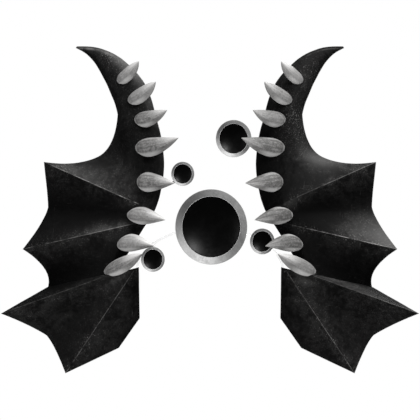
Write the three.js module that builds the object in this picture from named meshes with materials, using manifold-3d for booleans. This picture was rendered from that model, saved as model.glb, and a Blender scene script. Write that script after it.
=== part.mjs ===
// Devil-horns headpiece: two bat-wing horns with a row of claws each, five rimmed dishes
// and one plain clear circlet that carries them.
// Millimetres. +Z is up, -Y is the front, +X is to the viewer's right.
// The origin is the point on the brow that the wire rests against.
// Everything on a side is built once, with X measured outwards, and mirrored for the left.

import * as THREE from "three";
import { mergeVertices } from "three/addons/utils/BufferGeometryUtils.js";
import Module from "manifold-3d";

const wasm = await Module();
wasm.setup();

// Driving dimensions

const GAP = 0.3; // clearance between pieces that are glued or pressed together
const MERGE = 0.0001; // vertices closer than this are one
const QUARTER_TURN = Math.PI / 2;

const WING_EDGE = 1.5; // half thickness of the wing at its outer edge
const SHAFT_EDGE = 0.6; // half thickness left at the outer side of the shaft
const ARM_STEPS = 4; // facets from the inner edge of the arm to its crest
const ARM_START = 0.12; // share of the quarter turn where the inner edge starts
const BLADE_STEPS = 5; // facets from the crest to the outer edge
const BLADE_FALL = 3; // how quickly the arm thins into the wing

// Sections of a horn from the foot of the upper wing to the tip, each as (X, Z) points on the
// inner and outer outline. Each outline bends towards its pull point on the way to the next row.
// crest: inner edge to crest. depth: half thickness at the crest. armY, outerY: middle of the
// thickness at the crest and at the outer edge. blade: 1 wing, 0 round shaft. steps: to next row.
// soft: the panels run smoothly through the row, where other rows are sharp folds.
const HORN_SECTIONS = [
  { row: "foot", inner: [101, -53], innerPull: [83, -22], outer: [172, -67.4], outerPull: [161, -46],
    crest: 10, depth: 9, armY: 34, outerY: 58, blade: 1, steps: 4 },
  { row: "ridge 2", inner: [64.5, 7], innerPull: [63, 9.4], outer: [196.7, -23.3], outerPull: [172.5, 8],
    crest: 20, depth: 15, armY: 33.5, outerY: 34, blade: 1, steps: 4 },
  { row: "valley", inner: [61.5, 11.8], innerPull: [60, 14.1], outer: [170.4, 21], outerPull: [171.2, 38],
    crest: 21, depth: 15.5, armY: 33.5, outerY: 58, blade: 1, soft: true, steps: 4 },
  { row: "ridge 1", inner: [58.5, 16.5], innerPull: [48.5, 38], outer: [174.4, 68.3], outerPull: [140, 63],
    crest: 22, depth: 16, armY: 33.5, outerY: 36, blade: 1, steps: 4 },
  { row: "shoulder", inner: [48.2, 66], innerPull: [48.2, 88], outer: [117.4, 74.2], outerPull: [99.5, 84],
    crest: 24, depth: 17, armY: 33.5, outerY: 50, blade: 1, soft: true, steps: 5 },
  { row: "neck", inner: [56.5, 115], innerPull: [60.5, 136], outer: [97, 118.2], outerPull: [98.7, 128],
    crest: 20.3, depth: 16.5, armY: 33.5, outerY: 33.5, blade: 0, soft: true, steps: 3 },
  { row: "shaft", inner: [68.7, 150.6], innerPull: [76, 163], outer: [103.5, 138], outerPull: [107, 147],
    crest: 18.5, depth: 14.5, armY: 34, outerY: 34, blade: 0, steps: 3 },
  { row: "bend", inner: [87.6, 172.6], innerPull: [97, 181.5], outer: [111, 155], outerPull: [115.5, 164],
    crest: 14.6, depth: 11.5, armY: 36.5, outerY: 36.5, blade: 0, steps: 3 },
  { row: "hook", inner: [110.7, 186.2], innerPull: [118, 189], outer: [120.6, 171.7], outerPull: [124.5, 177],
    crest: 8.8, depth: 7, armY: 41, outerY: 41, blade: 0, steps: 2 },
  { row: "end", inner: [126, 189.6], innerPull: [133, 190], outer: [129.5, 181.5], outerPull: [134.5, 185.4],
    crest: 4.4, depth: 3.5, armY: 45, outerY: 45, blade: 0, steps: 2 },
  { row: "tip", inner: [140, 189.8], outer: [140.9, 188.2],
    crest: 0.9, depth: 0.9, armY: 49, outerY: 49, blade: 0 },
];

// Folds of the lower wing from its straight top edge round to its inner edge, as (X, Z) points
// at the root and on the outline, with the depth of the fold at the outline.
const LOWER_FOLDS = [
  { row: "top edge", root: [102, -48], outer: [171.3, -63.4], pull: [195.4, -77.1], outerY: 52.2, steps: 3 },
  { row: "ridge 3", root: [101, -48.5], outer: [219.5, -90.8], pull: [187, -104], outerY: 27, steps: 5 },
  { row: "valley", root: [92, -46.2], outer: [172, -114], pull: [163, -124],
    outerY: 51, soft: true, steps: 5 },
  { row: "ridge 4", root: [78, -43], outer: [151.6, -153.5], pull: [123.6, -140.2], outerY: 25, steps: 3 },
  { row: "corner", root: [76.2, -42.5], outer: [95.7, -127], pull: [84.8, -111.6], outerY: 36, steps: 2 },
  { row: "inner edge", root: [74.6, -42], outer: [73.9, -96.2], outerY: 42 },
];
const LOWER_ROOT_Y = 16.5; // middle of the thickness along the root
const LOWER_ROOT = 2.4; // half thickness along the root
const LOWER_STEPS = 4; // facets from the root to the outline

// Claws from the horn tip down: (X, Z) of the blunt end and of the point, depth of the blunt end,
// widest radius, and how far the middle bows downwards. widest: share of the length at which the claw
// is widest. taper: above 1 keeps the body full towards the point.
const SPIKES = [
  { root: [96.8, 151.2], tip: [74.4, 173.6], rootY: 25, radius: 7.2, bow: 1.5, widest: 0.33, taper: 2.6 },
  { root: [85.6, 130.6], tip: [56.6, 152], rootY: 20.5, radius: 8, bow: 2, widest: 0.33, taper: 2.6 },
  { root: [79.2, 111.4], tip: [44.6, 122.4], rootY: 19.5, radius: 8.8, bow: 2.5, widest: 0.3, taper: 1.9 },
  { root: [78.2, 82], tip: [32.6, 93.4], rootY: 20, radius: 10.4, bow: 2.5, widest: 0.3, taper: 1.65 },
  { root: [76.4, 47.6], tip: [36.6, 46], rootY: 19.5, radius: 10.8, bow: 0, widest: 0.27, taper: 1.45 },
  { root: [87.2, 13], tip: [46.4, 7.4], rootY: 22.5, radius: 9.6, bow: -1.2, widest: 0.4, taper: 1.4 },
  { root: [97.6, -18.8], tip: [57.6, -20], rootY: 18.2, radius: 9.6, bow: -3, widest: 0.36, taper: 1.5 },
  { root: [111.2, -48.6], tip: [70.6, -27.8], rootY: 23, radius: 8.6, bow: 1, widest: 0.4, taper: 2.2 },
];
const SPIKE_LEAN = 0.62; // forward reach for each millimetre of length seen from the front
const SPIKE_SIDES = 10;
const SPIKE_RINGS = 8;

// Dishes: centre in X and Z, depth of the front of the rim, radius over the rim, rim width.
// The upper dish is on the right side and the side dish on the left, with X measured outwards.
const DISHES = {
  centre: { x: 1.3, y: -20.5, z: 0.2, radius: 39.3, rim: 7.2 },
  low_left: { x: -59.7, y: -9, z: -33.7, radius: 13, rim: 2.2 },
  low_right: { x: 54.7, y: 6.7, z: -15, radius: 13.5, rim: 2.3 },
  upper: { x: 24.8, y: 6, z: 92.6, radius: 19.5, rim: 3.5 },
  side: { x: 28.5, y: -2, z: 55.7, radius: 12.6, rim: 2.1 },
};
const DISH_SIDES = 20;
const DISH_OVAL = 0.955; // width of a dish for each millimetre of height
const RIM_SLOPE = 0.55; // fall of the rim towards the middle for each millimetre of its width
const RIM_LIP = 1.6; // depth of the rim at its inner edge
const BOWL_SINK = 0.27; // depth of a bowl for each millimetre of its radius
const BOWL_WALL = 1.7;
const BOWL_RINGS = 5;
const STEM_RADIUS = 1.2;
const STEM_SUNK = 0.6; // how far a stem reaches into the wall of its bowl
// Stems: where each leaves its bowl, measured from the middle in X and Z, and its end in the arm.
const STEMS = {
  upper: { leave: [6, -3], end: [60, 34, 86] },
  side: { leave: [4.2, -7.5], end: [56, 33, 42.6] },
};

// Circlet: a wire bent to half an ellipse, tilted down to the back, with straight side arms.
const WIRE_RADIUS = 1.25;
const WIRE_SIDES = 8;
const WIRE_STEPS = 36;
const CIRCLET_HALF_WIDTH = 78;
const CIRCLET_REACH = 95; // brow to the widest place, along the slope
const CIRCLET_SLOPE = (32 * Math.PI) / 180;
const CIRCLET_TURNS = 6; // points on each quarter of the ellipse
const SIDE_ARMS = [ // past the widest place: distance along the slope and bend inwards
  { along: 25, inwards: 0 },
  { along: 50, inwards: 1 },
];
const WIRE_END = 2; // radius of the rounded wire ends
const POST_RADIUS = 2.2;
const STRUT_RADIUS = 2.2;
const STRUT_TURN = 1.5; // angle round the ellipse at which the strut to the horn leaves it
const STRUT_FOOT = [105.5, 48, -48]; // behind the arm
const FOOT_RADIUS = 7.5;
const FOOT_LENGTH = 9;
const ROD_SIDES = 10;
const BALL_RINGS = 6;

// Finishes

const FINISHES = {
  horn: new THREE.MeshStandardMaterial({ color: 0x1a1a1a, roughness: 0.7, metalness: 0 }),
  claw: new THREE.MeshStandardMaterial({ color: 0xb8b6b4, roughness: 0.45, metalness: 0.6 }),
  rim: new THREE.MeshStandardMaterial({ color: 0x9a9a9a, roughness: 0.35, metalness: 0.9 }),
  bowl: new THREE.MeshStandardMaterial({ color: 0x070707, roughness: 0.25, metalness: 0 }),
  wire: new THREE.MeshStandardMaterial(
    { color: 0xf2f2f2, roughness: 0.2, metalness: 0, transparent: true, opacity: 0.4 }),
};

// Shape helpers

const mix = THREE.MathUtils.lerp;

function solidOf(geometry) {
  const bare = new THREE.BufferGeometry();
  bare.setAttribute("position", geometry.getAttribute("position").clone());
  bare.setIndex(geometry.getIndex());
  const merged = mergeVertices(bare, MERGE);
  const index = merged.getIndex().array;
  const triVerts = [];
  for (let corner = 0; corner < index.length; corner += 3) {
    const [a, b, c] = index.slice(corner, corner + 3);
    if (a !== b && b !== c && c !== a) {
      triVerts.push(a, b, c);
    }
  }
  const vertProperties = new Float32Array(merged.getAttribute("position").array);
  const mesh = new wasm.Mesh({ numProp: 3, vertProperties, triVerts: new Uint32Array(triVerts) });
  return new wasm.Manifold(mesh);
}

function geometryOf(solid) {
  const mesh = solid.getMesh();
  const geometry = new THREE.BufferGeometry();
  geometry.setAttribute("position", new THREE.BufferAttribute(new Float32Array(mesh.vertProperties), 3));
  geometry.setIndex(new THREE.BufferAttribute(new Uint32Array(mesh.triVerts), 1));
  geometry.computeVertexNormals();
  return geometry;
}

// Closed solid through rings of equal length, each a front run of points and the same run back.
function loft(rings) {
  const count = rings[0].length;
  const positions = rings.flat().flatMap((point) => point.toArray());
  const index = [];
  for (let ring = 0; ring + 1 < rings.length; ring += 1) {
    for (let corner = 0; corner < count; corner += 1) {
      const next = (corner + 1) % count;
      const low = ring * count;
      const high = low + count;
      index.push(low + corner, low + next, high + next);
      index.push(low + corner, high + next, high + corner);
    }
  }
  const last = (rings.length - 1) * count;
  for (let front = 0; front + 1 < count / 2; front += 1) {
    const back = count - 1 - front;
    index.push(front, back, back - 1, front, back - 1, front + 1);
    index.push(last + front, last + back - 1, last + back);
    index.push(last + front, last + front + 1, last + back - 1);
  }
  const geometry = new THREE.BufferGeometry();
  geometry.setAttribute("position", new THREE.Float32BufferAttribute(positions, 3));
  geometry.setIndex(index);
  return solidOf(geometry);
}

function bentLine(start, pull, end) {
  return new THREE.QuadraticBezierCurve(
    new THREE.Vector2(...start), new THREE.Vector2(...pull), new THREE.Vector2(...end));
}

// Share of the way between two rows for the depth of a panel's outer edge.
function panelShare(from, to, share) {
  if (from.soft && to.soft) {
    return THREE.MathUtils.smoothstep(share, 0, 1);
  }
  if (to.soft) {
    return Math.sin(QUARTER_TURN * share);
  }
  return from.soft ? 1 - Math.cos(QUARTER_TURN * share) : share;
}

function rod(from, to, radius) {
  const start = new THREE.Vector3(...from);
  const reach = new THREE.Vector3(...to).sub(start);
  const geometry = new THREE.CylinderGeometry(radius, radius, reach.length(), ROD_SIDES);
  const upright = new THREE.Vector3(0, 1, 0);
  geometry.applyQuaternion(new THREE.Quaternion().setFromUnitVectors(upright, reach.clone().normalize()));
  const middle = start.addScaledVector(reach, 0.5);
  geometry.translate(middle.x, middle.y, middle.z);
  return solidOf(geometry);
}

// Horn

function ringOf(stations) {
  const front = stations.map(({ x, y, z, half }) => new THREE.Vector3(x, y - half, z));
  const back = stations.map(({ x, y, z, half }) => new THREE.Vector3(x, y + half, z));
  return [...front, ...back.reverse()];
}

function hornRing(section, grow) {
  const along = section.outer.clone().sub(section.inner);
  const length = along.length();
  along.normalize();
  const blade = length - section.crest;
  const stations = [];
  const place = (reach, half) => {
    const past = Math.max(0, (reach - section.crest) / blade);
    const spot = section.inner.clone().addScaledVector(along, reach);
    const y = mix(section.armY, section.outerY, Math.min(1, past));
    stations.push({ x: spot.x, y, z: spot.y, half: half + grow });
  };
  for (let step = 0; step <= ARM_STEPS; step += 1) {
    const turn = QUARTER_TURN * mix(ARM_START, 1, step / ARM_STEPS);
    const share = step / ARM_STEPS;
    place(section.crest * (1 - Math.cos(turn)) - grow * (1 - share), section.depth * Math.sin(turn));
  }
  for (let step = 1; step <= BLADE_STEPS; step += 1) {
    const share = step / BLADE_STEPS;
    const turn = QUARTER_TURN * share;
    const reach = mix(Math.sin(turn), share, section.blade);
    const round = Math.max(section.depth * Math.cos(turn), Math.min(SHAFT_EDGE, section.depth));
    const thin = WING_EDGE + (section.depth - WING_EDGE) * (1 - share) ** BLADE_FALL;
    place(section.crest + blade * reach + grow * share, mix(round, thin, section.blade));
  }
  return ringOf(stations);
}

function hornSolid(grow) {
  const rings = [];
  for (let row = 0; row + 1 < HORN_SECTIONS.length; row += 1) {
    const from = HORN_SECTIONS[row];
    const to = HORN_SECTIONS[row + 1];
    const innerLine = bentLine(from.inner, from.innerPull, to.inner);
    const outerLine = bentLine(from.outer, from.outerPull, to.outer);
    const lastStep = row + 2 === HORN_SECTIONS.length ? from.steps : from.steps - 1;
    for (let step = 0; step <= lastStep; step += 1) {
      const share = step / from.steps;
      const section = {
        inner: innerLine.getPoint(share),
        outer: outerLine.getPoint(share),
        crest: mix(from.crest, to.crest, share),
        depth: mix(from.depth, to.depth, share),
        armY: mix(from.armY, to.armY, share),
        outerY: mix(from.outerY, to.outerY, panelShare(from, to, share)),
        blade: mix(from.blade, to.blade, share),
      };
      rings.push(hornRing(section, grow));
    }
  }
  return loft(rings);
}

// Lower wing

function lowerRing(root, outer, outerY, grow) {
  const stations = [];
  const along = outer.clone().sub(root).normalize();
  for (let step = 0; step <= LOWER_STEPS; step += 1) {
    const share = step / LOWER_STEPS;
    const spot = root.clone().lerp(outer, share).addScaledVector(along, grow * (2 * share - 1));
    const half = mix(LOWER_ROOT, WING_EDGE, share) + grow;
    stations.push({ x: spot.x, y: mix(LOWER_ROOT_Y, outerY, share), z: spot.y, half });
  }
  return ringOf(stations);
}

function lowerWingSolid(grow) {
  const rings = [];
  for (let row = 0; row + 1 < LOWER_FOLDS.length; row += 1) {
    const from = LOWER_FOLDS[row];
    const to = LOWER_FOLDS[row + 1];
    const root = new THREE.Vector2(...from.root);
    const nextRoot = new THREE.Vector2(...to.root);
    const outline = bentLine(from.outer, from.pull, to.outer);
    const lastStep = row + 2 === LOWER_FOLDS.length ? from.steps : from.steps - 1;
    for (let step = 0; step <= lastStep; step += 1) {
      const share = step / from.steps;
      const spot = root.clone().lerp(nextRoot, share);
      const outerY = mix(from.outerY, to.outerY, panelShare(from, to, share));
      rings.push(lowerRing(spot, outline.getPoint(share), outerY, grow));
    }
  }
  return loft(rings.reverse());
}

// Claws

function spikeRadius({ widest, taper }, share) {
  if (share < widest) {
    return Math.sqrt(1 - ((widest - share) / widest) ** 2);
  }
  return 1 - ((share - widest) / (1 - widest)) ** taper;
}

function spikeSolid(spike) {
  const root = new THREE.Vector3(spike.root[0], spike.rootY, spike.root[1]);
  const seen = Math.hypot(spike.tip[0] - spike.root[0], spike.tip[1] - spike.root[1]);
  const tip = new THREE.Vector3(spike.tip[0], spike.rootY - SPIKE_LEAN * seen, spike.tip[1]);
  const axis = tip.clone().sub(root).normalize();
  const down = new THREE.Vector3(0, 0, -1).addScaledVector(axis, axis.z).normalize();
  const across = new THREE.Vector3().crossVectors(down, axis);
  const profile = [];
  for (let ring = 0; ring <= SPIKE_RINGS; ring += 1) {
    const share = (1 - Math.cos((Math.PI * ring) / SPIKE_RINGS)) / 2;
    const inside = ring > 0 && ring < SPIKE_RINGS;
    profile.push(new THREE.Vector2(inside ? spikeRadius(spike, share) : 0, share));
  }
  const geometry = new THREE.LatheGeometry(profile, SPIKE_SIDES);
  const position = geometry.getAttribute("position");
  for (let vertex = 0; vertex < position.count; vertex += 1) {
    const share = position.getY(vertex);
    const spot = root.clone().lerp(tip, share);
    spot.addScaledVector(down, spike.bow * 4 * share * (1 - share) + spike.radius * position.getX(vertex));
    spot.addScaledVector(across, spike.radius * position.getZ(vertex));
    position.setXYZ(vertex, spot.x, spot.y, spot.z);
  }
  return solidOf(geometry);
}

// Dishes

function turned(profile, dish) {
  const points = profile.map(([radius, rise]) => new THREE.Vector2(radius, rise));
  const geometry = new THREE.LatheGeometry(points, DISH_SIDES);
  geometry.scale(DISH_OVAL, 1, 1);
  geometry.translate(dish.x, dish.y, dish.z);
  return solidOf(geometry);
}

function rimSolid(dish) {
  const inner = dish.radius - dish.rim;
  const fall = RIM_SLOPE * dish.rim;
  return turned([
    [dish.radius, 0],
    [dish.radius, fall],
    [mix(inner, dish.radius, 0.5), fall + RIM_LIP],
    [inner, fall + RIM_LIP],
    [inner, fall],
    [dish.radius, 0],
  ], dish);
}

function bowlLip(dish) {
  return dish.radius - dish.rim - GAP;
}

// Depth of the inside of a bowl, which is part of a ball, at a distance from its middle.
function bowlDepth(dish, out) {
  const lip = bowlLip(dish);
  const ball = (lip * (1 + BOWL_SINK ** 2)) / (2 * BOWL_SINK);
  return RIM_SLOPE * dish.rim + GAP + BOWL_SINK * lip - ball + Math.sqrt(ball ** 2 - out ** 2);
}

function bowlSolid(dish) {
  const lip = bowlLip(dish);
  const profile = [];
  for (let ring = 0; ring <= BOWL_RINGS; ring += 1) {
    const out = (lip * ring) / BOWL_RINGS;
    profile.push([out, bowlDepth(dish, out)]);
  }
  for (let ring = BOWL_RINGS; ring >= 0; ring -= 1) {
    const out = (lip * ring) / BOWL_RINGS;
    profile.push([out, bowlDepth(dish, out) + BOWL_WALL]);
  }
  return turned(profile, dish);
}

function stemmedBowl(dish, stem, arm) {
  const [sideways, upwards] = stem.leave;
  const depth = bowlDepth(dish, Math.hypot(sideways / DISH_OVAL, upwards)) + BOWL_WALL - STEM_SUNK;
  const start = [dish.x + sideways, dish.y + depth, dish.z + upwards];
  return bowlSolid(dish).add(rod(start, stem.end, STEM_RADIUS)).subtract(arm);
}

// Circlet

function circletPoint(turn) {
  const along = CIRCLET_REACH * (1 - Math.cos(turn));
  return slopePoint(CIRCLET_HALF_WIDTH * Math.sin(turn), along);
}

function slopePoint(x, along) {
  const y = along * Math.cos(CIRCLET_SLOPE) - WIRE_RADIUS;
  return new THREE.Vector3(x, y, -along * Math.sin(CIRCLET_SLOPE));
}

function wireSolid() {
  const half = [];
  for (let step = 1; step <= CIRCLET_TURNS; step += 1) {
    half.push(circletPoint((QUARTER_TURN * step) / CIRCLET_TURNS));
  }
  for (const { along, inwards } of SIDE_ARMS) {
    half.push(slopePoint(CIRCLET_HALF_WIDTH - inwards, CIRCLET_REACH + along));
  }
  const mirrored = half.map((point) => new THREE.Vector3(-point.x, point.y, point.z)).reverse();
  const path = new THREE.CatmullRomCurve3([...mirrored, circletPoint(0), ...half]);
  const circle = new THREE.Shape().absarc(0, 0, WIRE_RADIUS, 0, 2 * Math.PI);
  const options = { steps: WIRE_STEPS, curveSegments: WIRE_SIDES / 2, extrudePath: path };
  let wire = solidOf(new THREE.ExtrudeGeometry(circle, options));
  for (const end of [half.at(-1), mirrored[0]]) {
    const ball = new THREE.SphereGeometry(WIRE_END, WIRE_SIDES, BALL_RINGS);
    ball.translate(end.x, end.y, end.z);
    wire = wire.add(solidOf(ball));
  }
  return wire;
}

function circletSolid(arm) {
  let carrier = wireSolid();
  for (const name of ["centre", "low_left", "low_right"]) {
    const dish = DISHES[name];
    const start = circletPoint(Math.asin(dish.x / CIRCLET_HALF_WIDTH));
    const back = dish.y + bowlDepth(dish, 0) + BOWL_WALL + GAP;
    carrier = carrier.add(rod(start.toArray(), [dish.x, back + POST_RADIUS, dish.z], POST_RADIUS));
    const seat = rod([dish.x, back, dish.z], [dish.x, back + 2 * POST_RADIUS, dish.z], POST_RADIUS);
    carrier = carrier.add(seat);
  }
  const [footX, footY, footZ] = STRUT_FOOT;
  const leave = circletPoint(STRUT_TURN);
  const strut = rod(leave.toArray(), STRUT_FOOT, STRUT_RADIUS);
  const foot = rod([footX, footY + STRUT_RADIUS, footZ], [footX, footY - FOOT_LENGTH, footZ], FOOT_RADIUS);
  const bracket = strut.add(foot).subtract(arm);
  return carrier.add(bracket).add(bracket.mirror([1, 0, 0]));
}

// Assembly

const group = new THREE.Group();
group.name = "devil_horns";

function addPiece(parent, name, solid, finish) {
  const mesh = new THREE.Mesh(geometryOf(solid), FINISHES[finish]);
  mesh.name = name;
  parent.add(mesh);
}

const horn = hornSolid(0);
const fullerHorn = hornSolid(GAP);
const lowerWing = lowerWingSolid(0);
const fullerLowerWing = lowerWingSolid(GAP);
const claws = SPIKES.map((spike) => spikeSolid(spike).subtract(fullerHorn).subtract(fullerLowerWing));

for (const [side, mirror, dishName] of [["left", -1, "side"], ["right", 1, "upper"]]) {
  const half = new THREE.Group();
  half.name = `${side}_side`;
  half.scale.x = mirror;
  addPiece(half, `${side}_horn`, horn, "horn");
  addPiece(half, `${side}_lower_wing`, lowerWing, "horn");
  claws.forEach((claw, place) => addPiece(half, `${side}_spike_${place + 1}`, claw, "claw"));
  const dish = DISHES[dishName];
  addPiece(half, `rim_${dishName}`, rimSolid(dish), "rim");
  addPiece(half, `dish_${dishName}`, stemmedBowl(dish, STEMS[dishName], fullerHorn), "bowl");
  group.add(half);
}
for (const name of ["centre", "low_left", "low_right"]) {
  addPiece(group, `rim_${name}`, rimSolid(DISHES[name]), "rim");
  addPiece(group, `dish_${name}`, bowlSolid(DISHES[name]), "bowl");
}
addPiece(group, "circlet", circletSolid(fullerHorn), "wire");

export default group;
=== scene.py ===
"""Devil-horns headpiece: pleated bat-wing horns, claws, rimmed dishes and the clear circlet under them."""

import math
from collections import namedtuple

import bmesh
import bpy
from bpy.props import FloatProperty, FloatVectorProperty, IntProperty, PointerProperty
from mathutils import Matrix, Vector, noise


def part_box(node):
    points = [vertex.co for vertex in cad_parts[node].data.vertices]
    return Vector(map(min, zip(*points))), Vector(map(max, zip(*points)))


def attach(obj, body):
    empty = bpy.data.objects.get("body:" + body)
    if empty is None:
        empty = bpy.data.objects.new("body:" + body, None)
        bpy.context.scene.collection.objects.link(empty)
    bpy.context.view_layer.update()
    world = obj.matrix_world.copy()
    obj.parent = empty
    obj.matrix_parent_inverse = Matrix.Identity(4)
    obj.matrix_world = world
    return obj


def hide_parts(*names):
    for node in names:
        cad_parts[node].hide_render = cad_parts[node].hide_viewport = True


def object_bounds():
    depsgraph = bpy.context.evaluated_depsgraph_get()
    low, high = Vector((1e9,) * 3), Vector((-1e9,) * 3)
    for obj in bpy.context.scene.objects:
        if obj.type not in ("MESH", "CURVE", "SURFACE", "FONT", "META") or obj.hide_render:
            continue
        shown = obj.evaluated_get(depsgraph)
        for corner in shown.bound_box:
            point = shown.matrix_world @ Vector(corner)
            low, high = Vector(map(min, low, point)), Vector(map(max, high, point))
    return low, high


bl_info = {
    "name": "Devil Horns Headpiece",
    "version": (1, 0, 0),
    "blender": (4, 5, 0),
    "location": "3D Viewport > Sidebar > Devil Horns",
    "description": "Dresses the headpiece: horns, lower wings, claws, rims, dishes, circlet and stage",
    "category": "Object",
}

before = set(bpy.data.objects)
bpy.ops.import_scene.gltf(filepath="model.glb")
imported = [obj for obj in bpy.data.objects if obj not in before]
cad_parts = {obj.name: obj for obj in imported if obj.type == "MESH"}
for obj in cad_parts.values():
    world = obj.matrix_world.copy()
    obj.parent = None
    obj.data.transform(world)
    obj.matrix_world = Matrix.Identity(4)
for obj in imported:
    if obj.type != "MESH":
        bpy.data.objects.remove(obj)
CAD_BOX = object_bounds()

MM = 0.001
QUARTER_TURN = math.pi / 2
SIDES = ("left", "right")  # shapes are drawn for the right and mirrored for the left
BODY = "root"

# Sections of a horn from the foot of its wing to the tip, in millimetres. inner and outer are (X, Z)
# points on the two outlines, which bend towards the pull points on the way to the next section.
# soft rows are run through smoothly; the others are folds. tone and end_tone are how much grey is laid over
# the black as painted light and shade where the panel starts and where it ends, 0 to 1: paler on panels that
# face the light, darker in the valleys and under the folds.
Section = namedtuple(
    "Section",
    "inner inner_pull outer outer_pull crest depth arm_y outer_y blade soft tone end_tone steps")
HORN_SECTIONS = (
    Section((101, -53), (83, -22), (172, -67.4), (161, -46),
            10, 9, 34, 58, 1, False, 0, 0.3, 16),
    Section((64.5, 7), (63, 9.4), (196.7, -23.3), (172.5, 8),
            20, 15, 33.5, 34, 1, False, 0.06, 0, 14),
    Section((61.5, 11.8), (60, 14.1), (170.4, 21), (171.2, 38),
            21, 15.5, 33.5, 58, 1, True, 0, 0.35, 14),
    Section((58.5, 16.5), (48.5, 38), (174.4, 68.3), (140, 63),
            22, 16, 33.5, 36, 1, False, 0.35, 0.22, 18),
    Section((48.2, 66), (48.2, 88), (117.4, 74.2), (99.5, 84),
            24, 17, 33.5, 50, 1, True, 0.22, 0.22, 16),
    Section((56.5, 115), (60.5, 136), (97, 118.2), (98.7, 128),
            20.3, 16.5, 33.5, 33.5, 0, True, 0.22, 0.24, 8),
    Section((68.7, 150.6), (76, 163), (103.5, 138), (107, 147),
            18.5, 14.5, 34, 34, 0, False, 0.24, 0.24, 8),
    Section((87.6, 172.6), (97, 181.5), (111, 155), (115.5, 164),
            14.6, 11.5, 36.5, 36.5, 0, False, 0.24, 0.24, 8),
    Section((110.7, 186.2), (118, 189), (120.6, 171.7), (124.5, 177),
            8.8, 7, 41, 41, 0, False, 0.24, 0.26, 6),
    Section((126, 189.6), (133, 190), (129.5, 181.5), (134.5, 185.4),
            4.4, 3.5, 45, 45, 0, False, 0.26, 0.28, 6),
    Section((140, 189.8), (140, 189.8), (140.9, 188.2), (140.9, 188.2),
            0.9, 0.9, 49, 49, 0, False, 0, 0, 1),
)

# Folds of a lower wing from its straight top edge round to its inner edge, in the same way.
Fold = namedtuple("Fold", "root outer pull outer_y soft tone end_tone steps")
LOWER_FOLDS = (
    Fold((102, -48), (171.3, -63.4), (195.4, -77.1), 52.2, False, 0.2, 0.2, 12),
    Fold((101, -48.5), (219.5, -90.8), (187, -104), 27, False, 0.36, 0.28, 16),
    Fold((92, -46.2), (172, -114), (163, -124), 51, True, 0.28, 0.25, 16),
    Fold((78, -43), (151.6, -153.5), (123.6, -140.2), 25, False, 0.3, 0.24, 10),
    Fold((76.2, -42.5), (95.7, -127), (84.8, -111.6), 36, False, 0.24, 0.2, 6),
    Fold((74.6, -42), (73.9, -96.2), (73.9, -96.2), 42, False, 0, 0, 1),
)
LOWER_ROOT_Y = 16.5
LOWER_ROOT = 2.4  # half thickness at the root, in millimetres
LOWER_STEPS = 30
LOWER_CORNER = 0.7 * MM
LOWER_WAVER = 0.6  # share of the horns' unevenness

# Steps along a ring: round the arm, out along the blade, and round the edge.
ARM_STEPS = 14
ARM_START = 0.03  # share of the arm's quarter turn at which its front and back part
BLADE_STEPS = 26
EDGE_STEPS = 4
EDGE_TURN = 0.85  # share of a quarter turn at which the edge's front and back meet
EDGE_SHARE = 0.8  # largest share of the depth that the edge's rounding takes
SHAFT_EDGE = 0.8  # rounding of the shaft's edge, in millimetres
RIB_RISE = 3  # a rib reaches its full height over one part in this many of its length
BROAD_WAVES, CLOSE_WAVES, CLOSE_SHARE = 38, 110, 0.35  # of the moulding's unevenness

# Soft painted highlights, set one by one on each side, where the pleats catch the light. Panels are counted
# from the first row, so middle is a row with its fraction; across runs from 0 at the arm or root to 1 at the
# outline. A glow stays on its panels, and a minus amount is a painted shade.
Glow = namedtuple("Glow", "first last middle deep across wide amount")
HORN_GLOWS = {
    "left": (
        Glow(1, 1, 1.0, 0.45, 0.3, 0.3, 0.5),
        Glow(3, 4, 3.1, 0.75, 0.72, 0.4, 0.27),
        Glow(4, 9, 7.0, 1.6, 0.0, 0.3, 0.8),
    ),
    "right": (
        Glow(1, 2, 1.15, 0.7, 1.0, 0.38, 0.95),
        Glow(3, 5, 4.0, 0.6, 0.9, 0.25, 0.74),
        Glow(4, 9, 6.6, 1.3, 0.7, 0.4, 0.14),
        Glow(3, 6, 4.6, 1.4, 0.0, 0.4, -0.14),
        Glow(3, 3, 3.0, 0.6, 0.1, 0.42, -0.2),
        Glow(0, 1, 1.0, 0.5, 0.1, 0.35, -0.18),
    ),
}
LOWER_GLOWS = {
    "left": (
        Glow(0, 0, 0.5, 2.0, 1.0, 0.6, -0.18),
        Glow(1, 2, 2.3, 0.5, 0.09, 0.14, 0.42),
        Glow(2, 2, 2.6, 0.5, 0.85, 0.5, -0.1),
    ),
    "right": (
        Glow(0, 0, 0.5, 2.0, 0.4, 0.34, 0.32),
        Glow(1, 2, 2.3, 0.5, 0.09, 0.14, 0.42),
    ),
}

# Patches of the shafts where the paint is chipped in small flecks, placed as the glows are.
HORN_CHIPS = {
    "left": (
        Glow(6, 9, 7.75, 0.3, 0.28, 0.22, 1.0),
        Glow(4, 9, 6.2, 1.8, 0.4, 0.5, 0.2),
    ),
    "right": (
        Glow(4, 6, 4.9, 0.45, 0.85, 0.3, 0.9),
        Glow(6, 9, 7.2, 0.6, 0.7, 0.4, 0.3),
        Glow(4, 9, 6.2, 1.8, 0.6, 0.5, 0.2),
    ),
}

# Wear along the outline, and along a line set in from the upper edge of the hook, which starts at a row with
# its fraction. Bands and the inset are in millimetres.
OUTLINE_BAND = 7
OUTLINE_WEAR = 0.86
HOOK_START = 6.6
HOOK_WEAR = {"left": 0.97, "right": 0.86}
HOOK_INSET = 2.5
HOOK_BAND = 9
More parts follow.
